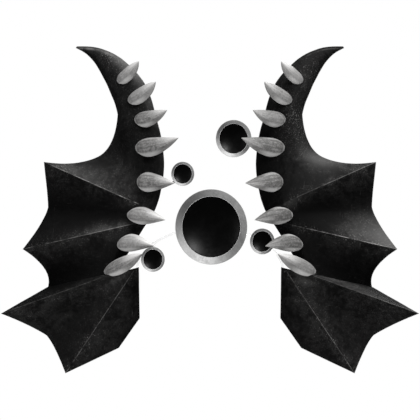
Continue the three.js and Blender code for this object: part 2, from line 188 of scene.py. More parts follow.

# Ridge lines of the folds as (X, Z) ends, from the outline to the arm: two on each wing. left and right are
# how far the paint is rubbed off them on each side, at the outline and at the arm; the two sides differ
# partly as a painted highlight, where a raised fold catches the light on one side.
Ridge = namedtuple("Ridge", "outer inner left right")
RIDGES = (
    Ridge((174.4, 68.3), (75, 24.2), (0.7, 0.9), (0.6, 0.0)),
    Ridge((196.7, -23.3), (80, 3.5), (0.22, 0.55), (1.4, 0.05)),
    Ridge((219.5, -90.8), (106, -50.4), (0.25, 0.15), (0.4, 0.3)),
    Ridge((151.6, -153.5), (79.5, -45.4), (0.5, 0.4), (0.45, 0.4)),
)

# Claws from the horn tip down: blunt end and point as (X, Z), depth of the blunt end, radius, bow, share
# of the length at which the claw is widest, and fullness towards the point. left and right are the finish on
# each side: how dull the body has gone, where 0 is clean, and the light painted on the point, from -1, a
# painted highlight underneath and painted shade on top, to 1, a painted highlight on top.
Claw = namedtuple("Claw", "root tip root_y radius bow widest taper left right")
CLAWS = (
    Claw((96.8, 151.2), (74.4, 173.6), 25, 7.2, 1.5, 0.33, 2.6, (0.7, 0.7), (0.5, 1)),
    Claw((85.6, 130.6), (56.6, 152), 20.5, 8, 2, 0.33, 2.6, (0.72, 0.55), (0.72, 0.2)),
    Claw((79.2, 111.4), (44.6, 122.4), 19.5, 8.8, 2.5, 0.3, 1.9, (1, 0.5), (0.86, -0.35)),
    Claw((78.2, 82), (32.6, 93.4), 20, 10.4, 2.5, 0.3, 1.65, (1.1, 0.55), (1.15, -0.4)),
    Claw((76.4, 47.6), (36.6, 46), 19.5, 10.8, 0, 0.27, 1.45, (1.05, 0.6), (1.15, -1)),
    Claw((87.2, 13), (46.4, 7.4), 22.5, 9.6, -1.2, 0.4, 1.4, (0.82, 0.75), (1.25, -1)),
    Claw((97.6, -18.8), (57.6, -20), 18.2, 9.6, -3, 0.36, 1.5, (0.75, 0.95), (1.2, -0.6)),
    Claw((111.2, -48.6), (70.6, -27.8), 23, 8.6, 1, 0.4, 2.2, (1, 1), (0.8, 1)),
)
CLAW_SIDES = 48
CLAW_RINGS = 36
CLAW_POLE = 0.9999  # height on a unit ball past which a vertex is its pole
CLAW_FACETS = 6  # soft planes carved round a claw, with corners at its top and bottom
CLAW_FLAT = 0.4  # how flat the planes are: 0 is round
CLAW_FIT = 0.97  # a round claw fills as much as the frame's ten-sided one at this share of its radius
CLAW_SET = 1.2  # how far a round blunt end stays inside the frame's pointed one, in millimetres
GROWTH_HEIGHT, GROWTH_RATE = 0.014, 70  # of the faint rings on the root half of a claw

DISHES = ("centre", "upper", "side", "low_left", "low_right")
RIM_SET = 0.15 * MM  # between a rim's hole and its bowl
PAINTED_SHEEN_TURN = math.radians(55)  # painted sheen: paler on two opposite sides, as turned metal shines, one of them at this angle
BOWL_SET = 0.2 * MM  # from the foot of a rim's slope back to its bowl
BOWL_STEPS = 18
BEVEL_SEGMENTS = 3

# Stems: where each leaves its bowl, from the bowl's middle, and its end in the horn's arm.
Stem = namedtuple("Stem", "leave end")
STEMS = {
    "upper": Stem((6, -3), (60, 34, 86)),
    "side": Stem((-4.2, -7.5), (-56, 33, 42.6)),
}
STEM_RADIUS = 1.2 * MM
STEM_SIDES = 20

SPIN_MERGE = 0.01 * MM
FACET_MERGE = 0.001 * MM
MELT_GRAIN = 0.45 * MM  # finest detail that is kept where the circlet's rods join
MELT_FLOW = 0.5
MELT_ROUNDS = 6

Light = namedtuple("Light", "name place width power")
LIGHTS = (
    Light("key", (0.15, -0.6, 1.8), 1.0, 47),
    Light("kicker", (1.15, -1.7, 1.25), 0.7, 38),
    Light("fill", (-1.8, -0.9, 0.4), 1.2, 16),
    Light("back", (0.7, 2.0, 0.9), 1.4, 18),
)
SENSOR_WIDTH = 36


class HornSettings(bpy.types.PropertyGroup):
    """Sizes and colours of the horns and their wings."""

    sag: FloatProperty(name="Sag", description="How far a wing panel sinks between its folds",
                       default=0.6 * MM, subtype="DISTANCE")
    rib: FloatProperty(name="Rib", description="How far a fold stands proud of its panels",
                       default=0.7 * MM, subtype="DISTANCE")
    rib_width: FloatProperty(name="Rib Width", description="Half width of the raised line on a fold",
                             default=2.2 * MM, subtype="DISTANCE")
    edge: FloatProperty(name="Edge", description="Half thickness of a wing at its outline",
                        default=1.5 * MM, subtype="DISTANCE")
    waver: FloatProperty(name="Waver", description="Hand-made unevenness of the moulding",
                         default=0.35 * MM, subtype="DISTANCE")
    dark: FloatVectorProperty(name="Dark", description="Colour of the clean black paint", subtype="COLOR",
                              default=(0.0012, 0.0012, 0.0012))
    # Grey laid over the black as painted light on the panels that face the light; it is also mixed into the
    # pale of the scratches and worn edges.
    lit_and_worn: FloatVectorProperty(name="Worn", description="Colour of the paint where it is scuffed dull",
                              subtype="COLOR", default=(0.085, 0.084, 0.083))
    rubbed: FloatVectorProperty(name="Rubbed", description="Colour of the fold lines where paint is gone",
                                subtype="COLOR", default=(0.27, 0.265, 0.26))


class ClawSettings(bpy.types.PropertyGroup):
    """Sizes and colours of the claws."""

    lean: FloatProperty(name="Lean", description="Forward reach for each unit of length", default=0.62)
    pale: FloatVectorProperty(name="Pale", description="Colour of the polished silver", subtype="COLOR",
                              default=(0.4, 0.396, 0.392))
    smudge: FloatVectorProperty(name="Smudge", description="Colour of the tarnish on the body",
                                subtype="COLOR", default=(0.075, 0.073, 0.071))


class DishSettings(bpy.types.PropertyGroup):
    """Sizes and colours of the rims, dishes and circlet."""

    turns: IntProperty(name="Turns", description="Facets round a dish", default=96)
    oval: FloatProperty(name="Oval", description="Width of a dish for each unit of its height", default=0.955)
    slope: FloatProperty(name="Slope", description="Fall of a rim for each unit of its width", default=0.55)
    sink: FloatProperty(name="Sink", description="Depth of a bowl for each unit of its radius", default=0.27)
    wall: FloatProperty(name="Wall", description="Thickness of a bowl at its edge", default=1.7 * MM,
                        subtype="DISTANCE")
    floor: FloatProperty(name="Floor", default=0.07,
                         description="Extra thickness of a bowl's middle for each unit of its radius")
    chamfer: FloatProperty(name="Chamfer", description="Rounding of a rim's edges", default=0.3 * MM,
                           subtype="DISTANCE")
    metal: FloatVectorProperty(name="Metal", description="Colour of the rims", subtype="COLOR",
                               default=(0.24, 0.24, 0.24))
    black: FloatVectorProperty(name="Black", description="Colour of the bowls", subtype="COLOR",
                               default=(0.0004, 0.0004, 0.0004))
    dust: FloatVectorProperty(name="Dust", description="Colour of the bowls where they are dusty",
                              subtype="COLOR", default=(0.0012, 0.0012, 0.0012))
    clear: FloatVectorProperty(name="Clear", description="Tint of the clear plastic", subtype="COLOR",
                               default=(0.98, 0.98, 0.98))
    haze: FloatVectorProperty(name="Haze", description="Tint of the plastic where it is hazed",
                              subtype="COLOR", default=(0.9, 0.9, 0.9))


class StageSettings(bpy.types.PropertyGroup):
    """Camera, light and floor."""

    view_width: FloatProperty(name="View Width", description="Width seen at the wings", default=441 * MM,
                              subtype="DISTANCE")
    view_height: FloatProperty(name="View Height", description="Height of the middle of the view",
                               default=17.85 * MM, subtype="DISTANCE")
    wings_y: FloatProperty(name="Wings", description="Depth at which the view width is measured",
                           default=36 * MM, subtype="DISTANCE")
    distance: FloatProperty(name="Distance", description="Camera to the wings", default=9.0,
                            subtype="DISTANCE")
    drop: FloatProperty(name="Drop", description="Floor below the headpiece", default=0.45,
                        subtype="DISTANCE")
    floor_fade: FloatProperty(name="Floor Fade", description="Distance at which the floor starts to fade",
                              default=0.7, subtype="DISTANCE")
    floor_reach: FloatProperty(name="Floor Reach", description="Distance from the middle to the floor's edge",
                               default=2.2, subtype="DISTANCE")
    floor_dark: FloatVectorProperty(name="Floor Dark", description="Darker tone of the floor",
                                    subtype="COLOR", default=(0.86, 0.86, 0.86))
    floor_pale: FloatVectorProperty(name="Floor Pale", description="Paler tone of the floor",
                                    subtype="COLOR", default=(0.9, 0.9, 0.9))
    ambient: FloatProperty(name="Ambient", description="Strength of the surrounding light", default=0.1)


# Mesh helpers


def mix(a, b, share):
    return a + (b - a) * share


def ease(share):
    return share * share * (3 - 2 * share)


def arch(share):
    """Rises from 0 to 1 halfway and falls back to 0."""
    return 4 * share * (1 - share)


def bell(distance):
    return math.exp(-distance * distance)


def crowd(share):
    """Packs steps towards both ends, where the folds are."""
    return (1 - math.cos(math.pi * share)) / 2


def panel_share(row, following, share):
    """Share of the way across a panel in depth: it leaves a soft row gently and a fold sharply."""
    if row.soft and following.soft:
        return ease(share)
    if following.soft:
        return math.sin(QUARTER_TURN * share)
    if row.soft:
        return 1 - math.cos(QUARTER_TURN * share)
    return share


def bend(start, pull, end, share):
    start, pull, end = Vector(start), Vector(pull), Vector(end)
    return start.lerp(pull, share).lerp(pull.lerp(end, share), share)


def ring_edges(bm, verts):
    return [bm.edges.get(pair) for pair in zip(verts, verts[1:] + verts[:1])]


def set_station(vert, station, layers):
    """Moves a vertex to its station on a ring and writes its looks."""
    vert.co = station.spot
    for name, layer in layers.items():
        vert[layer] = getattr(station, name)


def loft(rings):
    """Extrudes the first ring through all the others, point to point, and closes both ends."""
    bm = bmesh.new()
    layers = {name: bm.verts.layers.float.new(name) for name in ("outline", "spray", "rub", "chips")}
    verts = [bm.verts.new(station.spot) for station in rings[0]]
    edges = [bm.edges.new(pair) for pair in zip(verts, verts[1:] + verts[:1])]
    first = verts
    for vert, station in zip(verts, rings[0]):
        set_station(vert, station, layers)
    for ring in rings[1:]:
        made = bmesh.ops.extrude_edge_only(bm, edges=edges)["geom"]
        fresh = {item for item in made if isinstance(item, bmesh.types.BMVert)}
        following = []
        for vert, station in zip(verts, ring):
            joined = (edge.other_vert(vert) for edge in vert.link_edges)
            partner = next(other for other in joined if other in fresh)
            set_station(partner, station, layers)
            following.append(partner)
        verts = following
        edges = ring_edges(bm, verts)
    for end in (first, verts):
        half = len(end) // 2
        runs = list(zip(end[:half], end[1:half])) + list(zip(end[half:], end[half + 1:]))
        bmesh.ops.bridge_loops(bm, edges=[bm.edges.get(pair) for pair in runs])
    bmesh.ops.recalc_face_normals(bm, faces=bm.faces)
    return bm


def soften(bm, degrees, width):
    """Rounds every edge that is sharper than an angle."""
    sharp = math.radians(degrees)
    hard = [edge for edge in bm.edges if edge.is_manifold and edge.calc_face_angle() > sharp]
    bmesh.ops.bevel(bm, geom=hard, offset=width, offset_type="OFFSET", segments=BEVEL_SEGMENTS,
                    profile=0.5, affect="EDGES", material=-1, clamp_overlap=True)


def waver(bm, height):
    """Moves the surface in and out a little, as a moulding is."""
    bm.normal_update()
    for vert in bm.verts:
        broad = noise.noise(vert.co * BROAD_WAVES)
        close = noise.noise(vert.co * CLOSE_WAVES)
        vert.co += vert.normal * height * (broad + CLOSE_SHARE * close)


def sided(bm, side):
    """Mirrors a shape that goes on the left."""
    if side == "left":
        bmesh.ops.scale(bm, vec=(-1, 1, 1), verts=bm.verts)
        bmesh.ops.recalc_face_normals(bm, faces=bm.faces)
    return bm


def add_piece(name, bm, material, slot, *nodes):
    """Makes a smooth piece of the mesh, in place of the CAD nodes that it stands for."""
    mesh = bpy.data.meshes.new(name)
    for face in bm.faces:
        face.smooth = True
    bm.to_mesh(mesh)
    bm.free()
    piece = bpy.data.objects.new(name, mesh)
    bpy.context.scene.collection.objects.link(piece)
    mesh.materials.append(material)
    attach(piece, BODY)
    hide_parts(*nodes)
    return piece


# Horns and lower wings


# Where a ring stands and how it is painted: its side, its panel and the share of the way across that panel,
# the tone of painted light there, and the painted glows and shades and the chips of its piece.
Paint = namedtuple("Paint", "side panel share tone glows chips")

# A place on a ring: how near it is to the outline, how much light and shade is painted on it, how far its
# ridge is rubbed pale, partly as a painted highlight, and how far its paint is chipped.
Station = namedtuple("Station", "spot outline spray rub chips")


def nearest_ridge(spot, side):
    """Distance from the nearest ridge line, seen from the front, and how far it is rubbed pale there, partly
    as a painted highlight.
    """
    nearest, rub = math.inf, 0
    for ridge in RIDGES:
        start, end = Vector(ridge.outer), Vector(ridge.inner)
        along = end - start
        share = min(1, max(0, (spot - start).dot(along) / along.length_squared))
        away = (spot - start - along * share).length
        if away < nearest:
            nearest, rub = away, mix(*getattr(ridge, side), share)
    return nearest * MM, rub


def laid_on(amount, glows, paint, across):
    """Adds the glows that reach a place on a ring to an amount."""
    for glow in glows:
        if glow.first <= paint.panel <= glow.last:
            along = (paint.panel + paint.share - glow.middle) / glow.deep
            amount += glow.amount * bell(along) * bell((across - glow.across) / glow.wide)
    return min(1, max(0, amount))


def edge_wear(paint, reach, length):
    """Wear at the outline, and along the upper edge of the hook."""
    hook = HOOK_WEAR[paint.side] * min(1, max(0, paint.panel + paint.share - HOOK_START))
    outline = OUTLINE_WEAR * (1 - (length - reach) / OUTLINE_BAND)
    return max(0, outline, hook * (1 - abs(reach - HOOK_INSET) / HOOK_BAND))


def rib_height(share):
    return ease(min(1, share * RIB_RISE))


def edge_turns():
    """Turns of a rounded edge from its flat towards its middle."""
    return [QUARTER_TURN * EDGE_TURN * step / EDGE_STEPS for step in range(1, EDGE_STEPS + 1)]


def place_run(runs, paint, settings):
    """Turns (X, Z, middle, half thickness, rib height, reach, length) into a closed ring of stations."""
    front, back = [], []
    for x, z, middle, half, rib, reach, length in runs:
        away, rub = nearest_ridge(Vector((x, z)), paint.side)
        lift = settings.rib * rib * bell(away / settings.rib_width)
        across = reach / length
        # The light and shade painted on this place, from the panel's tone and the glows.
        spray = laid_on(paint.tone, paint.glows, paint, across)
        looks = edge_wear(paint, reach, length), spray, rub, laid_on(0, paint.chips, paint, across)
        front.append(Station(Vector((x * MM, (middle - half) * MM - lift, z * MM)), *looks))
        back.append(Station(Vector((x * MM, (middle + half) * MM, z * MM)), *looks))
    return front + back[::-1]


def horn_ring(section, sag, paint, settings):
    """Runs from the inner outline round the arm and along the blade to the rounded outer edge."""
    inner, outer = section.inner, section.outer
    length = (outer - inner).length
    along = (outer - inner) / length
    rounding = min(mix(SHAFT_EDGE, settings.edge / MM, section.blade), section.depth * EDGE_SHARE)
    blade = length - section.crest - rounding
    runs = []
    for step in range(ARM_STEPS + 1):
        turn = QUARTER_TURN * mix(ARM_START, 1, step / ARM_STEPS)
        runs.append((section.crest * (1 - math.cos(turn)), section.depth * math.sin(turn)))
    for step in range(1, BLADE_STEPS + 1):
        out = step / BLADE_STEPS
        turn = QUARTER_TURN * out
        reach = section.crest + blade * mix(math.sin(turn), out, section.blade)
        rounded = max(section.depth * math.cos(turn), rounding)
        thinned = rounding + (section.depth - rounding) * (1 - out) ** 3
        runs.append((reach, mix(rounded, thinned, section.blade)))
    for turn in edge_turns():
        runs.append((length - rounding * (1 - math.sin(turn)), rounding * math.cos(turn)))
    stations = []
    for reach, half in runs:
        past = min(1, max(0, (reach - section.crest) / (length - section.crest)))
        spot = inner + along * reach
        middle = mix(section.arm_y, section.outer_y, past) + sag * past * section.blade
        rib = rib_height(past) * section.blade
        stations.append((spot.x, spot.y, middle, half, rib, reach, length))
    return place_run(stations, paint, settings)


def horn_mesh(side, settings):
    rings = []
    for panel, (section, following) in enumerate(zip(HORN_SECTIONS, HORN_SECTIONS[1:])):
        last = following is HORN_SECTIONS[-1]
        for step in range(section.steps + (1 if last else 0)):
            even = step / section.steps
            share = crowd(even) if section.blade else even
            smooth = ease(share)
            between = Section(
                bend(section.inner, section.inner_pull, following.inner, share), None,
                bend(section.outer, section.outer_pull, following.outer, share), None,
                mix(section.crest, following.crest, smooth), mix(section.depth, following.depth, smooth),
                mix(section.arm_y, following.arm_y, smooth),
                mix(section.outer_y, following.outer_y, panel_share(section, following, share)),
                mix(section.blade, following.blade, smooth), None, None, None, 0)
            tone = mix(section.tone, section.end_tone, share)
            paint = Paint(side, panel, share, tone, HORN_GLOWS[side], HORN_CHIPS[side])
            rings.append(horn_ring(between, arch(share) * settings.sag / MM, paint, settings))
    bm = loft(rings)
    waver(bm, settings.waver)
    return bm


def lower_ring(root, outer, outer_y, sag, paint, settings):
    """Runs from the rounded root along the panel to its rounded outer edge."""
    along = (outer - root).normalized()
    length = (outer - root).length
    edge = settings.edge / MM
    runs = []
    for turn in reversed(edge_turns()):
        runs.append((LOWER_ROOT * (1 - math.sin(turn)), LOWER_ROOT * math.cos(turn)))
    for step in range(LOWER_STEPS + 1):
        share = step / LOWER_STEPS
        runs.append((mix(LOWER_ROOT, length - edge, share), mix(LOWER_ROOT, edge, share)))
    for turn in edge_turns():
        runs.append((length - edge * (1 - math.sin(turn)), edge * math.cos(turn)))
    stations = []
    for reach, half in runs:
        share = reach / length
        spot = root + along * reach
        middle = mix(LOWER_ROOT_Y, outer_y, share) + sag * share
        stations.append((spot.x, spot.y, middle, half, rib_height(share), reach, length))
    return place_run(stations, paint, settings)


def lower_wing_mesh(side, settings):
    rings = []
    for panel, (fold, following) in enumerate(zip(LOWER_FOLDS, LOWER_FOLDS[1:])):
        last = following is LOWER_FOLDS[-1]
        for step in range(fold.steps + (1 if last else 0)):
            share = crowd(step / fold.steps)
            root = Vector(fold.root).lerp(Vector(following.root), share)
            outer = bend(fold.outer, fold.pull, following.outer, share)
            outer_y = mix(fold.outer_y, following.outer_y, panel_share(fold, following, share))
            paint = Paint(side, panel, share, mix(fold.tone, fold.end_tone, share), LOWER_GLOWS[side], ())
            rings.append(lower_ring(root, outer, outer_y, arch(share) * settings.sag / MM, paint, settings))
    bm = loft(rings)
    soften(bm, degrees=50, width=LOWER_CORNER)
    waver(bm, settings.waver * LOWER_WAVER)
    return bm


# Claws


def claw_radius(claw, share):
    """Radius at a share of the length, from a rounded blunt end through the widest place to the point."""
    if share < claw.widest:
        return claw.radius * math.sqrt(max(0, 1 - ((claw.widest - share) / claw.widest) ** 2))
    return claw.radius * (1 - ((share - claw.widest) / (1 - claw.widest)) ** claw.taper)


def carved(angle):
    """Share of a claw's radius at an angle round it, with soft planes between the corners."""
    half = math.pi / CLAW_FACETS
    return mix(1, math.cos(half) / math.cos(angle % (2 * half) - half), CLAW_FLAT)


def claw_mesh(claw, side, settings):
    """Draws a ball out along the claw's bowed axis, with faint growth rings near its root."""
    root = Vector((claw.root[0], claw.root_y, claw.root[1]))
    seen = math.hypot(claw.tip[0] - claw.root[0], claw.tip[1] - claw.root[1])
    tip = Vector((claw.tip[0], claw.root_y - settings.lean * seen, claw.tip[1]))
    axis = (tip - root).normalized()
    root += axis * CLAW_SET
    down = (Vector((0, 0, -1)) + axis * axis.z).normalized()
    across = down.cross(axis)
    bm = bmesh.new()
    bmesh.ops.create_uvsphere(bm, u_segments=CLAW_SIDES, v_segments=CLAW_RINGS, radius=1)
    streak = bm.verts.layers.float_vector.new("streak")
    tarnish = bm.verts.layers.float.new("tarnish")
    point_light = bm.verts.layers.float.new("point_light")
    # The second number is the light painted on the point: a painted highlight, and on some claws painted
    # shade on top.
    dull, rubbed = getattr(claw, side)
    for vert in bm.verts:
        share = (1 + vert.co.z) / 2
        angle = math.atan2(vert.co.y, vert.co.x)
        pole = abs(vert.co.z) > CLAW_POLE
        growth = 1 + GROWTH_HEIGHT * math.sin(GROWTH_RATE * share) * max(0, 1 - 2 * share)
        radius = 0 if pole else CLAW_FIT * claw_radius(claw, share) * carved(angle) * growth
        spot = root.lerp(tip, share)
        spot += down * (claw.bow * arch(share) + radius * math.cos(angle))
        spot += across * radius * math.sin(angle)
        vert[streak] = (math.cos(angle), math.sin(angle), share)
        vert[tarnish] = dull
        vert[point_light] = rubbed
        vert.co = spot * MM
    bmesh.ops.recalc_face_normals(bm, faces=bm.faces)
    return bm


# Rims, dishes and circlet


def dish_place(name):
    """Middle of a rim's front face, its radius and its bowl's radius, from the frame."""
    low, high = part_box(f"rim_{name}")
    middle = Vector(((low.x + high.x) / 2, low.y, (low.z + high.z) / 2))
    radius = (high.z - low.z) / 2
    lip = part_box(f"dish_{name}")[1].z - middle.z
    return middle, radius, lip


def spun(profile, middle, settings):
    """Spins a run of (radius, depth) points round the line of sight and sets the shape in place."""
    bm = bmesh.new()
    verts = [bm.verts.new((radius, depth, 0)) for radius, depth in profile]
    edges = [bm.edges.new(pair) for pair in zip(verts, verts[1:])]
    bmesh.ops.spin(bm, geom=verts + edges, cent=(0, 0, 0), axis=(0, 1, 0), dvec=(0, 0, 0),
                   angle=2 * math.pi, steps=settings.turns, use_merge=True, use_duplicate=False)
    bmesh.ops.remove_doubles(bm, verts=bm.verts, dist=SPIN_MERGE)
    bmesh.ops.recalc_face_normals(bm, faces=bm.faces)
    place = Matrix.Translation(middle) @ Matrix.Diagonal((settings.oval, 1, 1, 1))
    bmesh.ops.transform(bm, matrix=place, verts=bm.verts)
    return bm


def rim_mesh(name, settings):
    middle, radius, lip = dish_place(name)
    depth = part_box(f"rim_{name}")[1].y - middle.y
    inner = lip + RIM_SET
    fall = settings.slope * (radius - inner)
    profile = [
        (inner, fall),
        (radius, 0),
        (radius, fall),
        ((inner + radius) / 2, depth),
        (inner, depth),
        (inner, fall),
    ]
    bm = spun(profile, middle, settings)
    soften(bm, degrees=28, width=settings.chamfer)
    # A painted sheen: paler on two opposite sides of the rim and darker between, as light catches turned
    # metal.
    painted_sheen = bm.verts.layers.float.new("painted_sheen")
    for vert in bm.verts:
        turn = math.atan2(vert.co.z - middle.z, vert.co.x - middle.x)
        vert[painted_sheen] = (1 + math.cos(2 * (turn - PAINTED_SHEEN_TURN))) / 2
    return bm


def bowl_mesh(name, settings):
    middle, radius, lip = dish_place(name)
    start = settings.slope * (radius - lip) + BOWL_SET
    ball = lip * (1 + settings.sink ** 2) / (2 * settings.sink)

    def depth_at(out):
        return start + settings.sink * lip - ball + math.sqrt(ball * ball - out * out)

    outs = [lip * step / BOWL_STEPS for step in range(BOWL_STEPS + 1)]
    # The inside is a shallower hollow than the back, so a bowl is thickest in its middle.
    inside = [(out, depth_at(out) - settings.floor * (lip - out * out / lip)) for out in outs]
    outside = [(out, depth_at(out) + settings.wall) for out in reversed(outs)]
    bm = spun(inside + outside, middle, settings)
    soften(bm, degrees=40, width=settings.chamfer)
    if name in STEMS:
        add_stem(bm, STEMS[name], middle, depth_at, settings)
    return bm


def add_stem(bm, stem, middle, depth_at, settings):
    sideways, upwards = stem.leave[0] * MM, stem.leave[1] * MM
    out = math.hypot(sideways / settings.oval, upwards)
    start = middle + Vector((sideways, depth_at(out) + settings.wall / 2, upwards))
    reach = Vector(stem.end) * MM - start
    turned = reach.to_track_quat("Z", "Y").to_matrix().to_4x4()
    place = Matrix.Translation(start + reach / 2) @ turned
    bmesh.ops.create_cone(bm, cap_ends=True, segments=STEM_SIDES, radius1=STEM_RADIUS,
                          radius2=STEM_RADIUS, depth=reach.length, matrix=place)


def circlet_mesh():
    """Takes the carrier's own solid, with its facets merged, to be melted smooth where its rods join."""
    bm = bmesh.new()
    bm.from_mesh(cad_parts["circlet"].data)
    bmesh.ops.remove_doubles(bm, verts=bm.verts, dist=FACET_MERGE)
    return bm


# Shader node helpers


def link_value(tree, socket, value):
    """Joins a socket to another one, or sets its plain value."""
    if isinstance(value, bpy.types.NodeSocket):
        tree.links.new(value, socket)
    else:
        socket.default_value = value


def math_node(tree, operation, *values, clamp=False):
    node = tree.nodes.new("ShaderNodeMath")
    node.operation = operation
    node.use_clamp = clamp
    for socket, value in zip(node.inputs, values):
        link_value(tree, socket, value)
    return node.outputs[0]


def chained(tree, operation, result, others):
    for other in others:
        result = math_node(tree, operation, result, other)
    return result


def times(tree, first, *others):
    return chained(tree, "MULTIPLY", first, others)


def plus(tree, first, *others):
    return chained(tree, "ADD", first, others)


def minus(tree, first, *others):
    return chained(tree, "SUBTRACT", first, others)


def most(tree, first, *others):
    return chained(tree, "MAXIMUM", first, others)


def vector_node(tree, operation, *values):
    node = tree.nodes.new("ShaderNodeVectorMath")
    node.operation = operation
    for socket, value in zip(node.inputs, values):
        link_value(tree, socket, value)
    return node


def range_node(tree, value, low, high, to_low=0.0, to_high=1.0):
    node = tree.nodes.new("ShaderNodeMapRange")
    node.interpolation_type = "SMOOTHSTEP"
    for socket, number in zip(node.inputs, (value, low, high, to_low, to_high)):
        link_value(tree, socket, number)
    return node.outputs[0]


def colour_mix(tree, share, first, second, blend="MIX"):
    node = tree.nodes.new("ShaderNodeMix")
    node.data_type = "RGBA"
    node.blend_type = blend
    link_value(tree, node.inputs[0], share)
    link_value(tree, node.inputs[6], first)
    link_value(tree, node.inputs[7], second)
    return node.outputs[2]


def noise_node(tree, vector, scale, detail=4.0, roughness=0.55, distortion=0.0):
    node = tree.nodes.new("ShaderNodeTexNoise")
    link_value(tree, node.inputs["Vector"], vector)
    link_value(tree, node.inputs["Scale"], scale)
    node.inputs["Detail"].default_value = detail
    node.inputs["Roughness"].default_value = roughness
    node.inputs["Distortion"].default_value = distortion
    return node.outputs["Fac"]


def attribute(tree, name, output="Fac"):
    """Reads what a mesh's vertices carry under a name."""
    node = tree.nodes.new("ShaderNodeAttribute")
    node.attribute_name = name
    return node.outputs[output]


def split(tree, vector):
    node = tree.nodes.new("ShaderNodeSeparateXYZ")
    tree.links.new(vector, node.inputs[0])
    return node.outputs


def stretched(tree, vector, scale, rotation=(0, 0, 0)):
    node = tree.nodes.new("ShaderNodeMapping")
    tree.links.new(vector, node.inputs["Vector"])
    node.inputs["Scale"].default_value = scale
    node.inputs["Rotation"].default_value = rotation
    return node.outputs["Vector"]


FLOAT = "NodeSocketFloat"
VECTOR = "NodeSocketVector"


def new_group(name, inputs, outputs):
    """Starts a shader node group with named sockets: (name, kind, default)."""
    tree = bpy.data.node_groups.new(name, "ShaderNodeTree")
    for label, kind, default in inputs:
        socket = tree.interface.new_socket(label, in_out="INPUT", socket_type=kind)
        if default is not None:
            socket.default_value = default
    for label in outputs:
        tree.interface.new_socket(label, in_out="OUTPUT", socket_type=FLOAT)
    return tree, tree.nodes.new("NodeGroupInput").outputs, tree.nodes.new("NodeGroupOutput").inputs


def grime_group():
    """Broad mottle, close specks and a fine grain, for paint and metal that has been handled."""
    tree, given, result = new_group(
        "Grime", [("Position", VECTOR, None), ("Scale", FLOAT, 1.0)], ["Mottle", "Specks", "Grain"])
    scaled = vector_node(tree, "SCALE", given["Position"])
    link_value(tree, scaled.inputs["Scale"], given["Scale"])
    position = scaled.outputs[0]
    broad = noise_node(tree, position, 40.0, detail=6.0, roughness=0.65, distortion=0.6)
    close = noise_node(tree, position, 210.0, detail=5.0, roughness=0.75)
    blotch = plus(tree, times(tree, broad, 0.55), times(tree, close, 0.45))
    tree.links.new(range_node(tree, blotch, 0.4, 0.62), result["Mottle"])
    speck = noise_node(tree, position, 900.0, detail=3.0, roughness=0.65)
    tree.links.new(range_node(tree, speck, 0.57, 0.7), result["Specks"])
    tree.links.new(noise_node(tree, position, 1500.0, detail=2.0, roughness=0.5), result["Grain"])
    return tree


def scratch_group():
    """Thin broken scratches that run two ways across the surface."""
    tree, given, result = new_group(
        "Scratches", [("Position", VECTOR, None), ("Amount", FLOAT, 0.5)], ["Scratches"])
    found = 0.0
    for scale, rotation in (((60, 60, 900), (0.0, 0.5, 0.2)), ((900, 60, 70), (0.3, -0.4, 0.0))):
        lines = noise_node(tree, stretched(tree, given["Position"], scale, rotation), 1.0, detail=2.0)
        found = most(tree, range_node(tree, lines, 0.685, 0.72), found)
    patches = range_node(tree, noise_node(tree, given["Position"], 22.0, detail=3.0), 0.5, 0.64)
    tree.links.new(times(tree, found, patches, given["Amount"]), result["Scratches"])
    return tree


def line_group():
    """Distance from a straight fold line, seen from the front and the same on both sides."""
    tree, given, result = new_group(
        "Fold Line", [(label, VECTOR, None) for label in ("Position", "Start", "End")], ["Distance"])
    parts = split(tree, given["Position"])
    flat = tree.nodes.new("ShaderNodeCombineXYZ")
    tree.links.new(math_node(tree, "ABSOLUTE", parts["X"]), flat.inputs["X"])
    tree.links.new(parts["Z"], flat.inputs["Z"])
    away = vector_node(tree, "SUBTRACT", flat.outputs[0], given["Start"]).outputs["Vector"]
    along = vector_node(tree, "SUBTRACT", given["End"], given["Start"]).outputs["Vector"]
    shadow = vector_node(tree, "DOT_PRODUCT", away, along).outputs["Value"]
    whole = vector_node(tree, "DOT_PRODUCT", along, along).outputs["Value"]
    share = math_node(tree, "DIVIDE", shadow, whole, clamp=True)
    foot = vector_node(tree, "SCALE", along)
    tree.links.new(share, foot.inputs["Scale"])
    apart = vector_node(tree, "DISTANCE", away, foot.outputs["Vector"])
    tree.links.new(apart.outputs["Value"], result["Distance"])
    return tree


GROUPS = {"Grime": grime_group, "Scratches": scratch_group, "Fold Line": line_group}


def place_group(tree, name, **values):
    """Places a shared effect, which is built once, with its own values."""
    node = tree.nodes.new("ShaderNodeGroup")
    node.node_tree = bpy.data.node_groups.get(name) or GROUPS[name]()
    for label, value in values.items():
        link_value(tree, node.inputs[label], value)
    return node.outputs


def new_material(name):
    """Starts a material and gives its tree, shader and object coordinates."""
    material = bpy.data.materials.new(name)
    material.use_nodes = True
    tree = material.node_tree
    shader = tree.nodes["Principled BSDF"]
    position = tree.nodes.new("ShaderNodeTexCoord").outputs["Object"]
    return material, tree, shader, position


def set_surface(tree, shader, colour, mask, smooth, rough):
    """Gives a shader its colour, and its roughness where a mask is 0 and where it is 1."""
    tree.links.new(colour, shader.inputs["Base Color"])
    tree.links.new(range_node(tree, mask, 0.0, 1.0, smooth, rough), shader.inputs["Roughness"])


def add_bump(tree, shader, height, strength, distance):
    bump = tree.nodes.new("ShaderNodeBump")
    bump.inputs["Strength"].default_value = strength
    bump.inputs["Distance"].default_value = distance
    tree.links.new(height, bump.inputs["Height"])
    tree.links.new(bump.outputs["Normal"], shader.inputs["Normal"])


def opaque(colour, factor=1.0):
    """A colour made paler or darker by a factor, with a full alpha."""
    return (*(min(1, value * factor) for value in colour), 1.0)


# Finishes


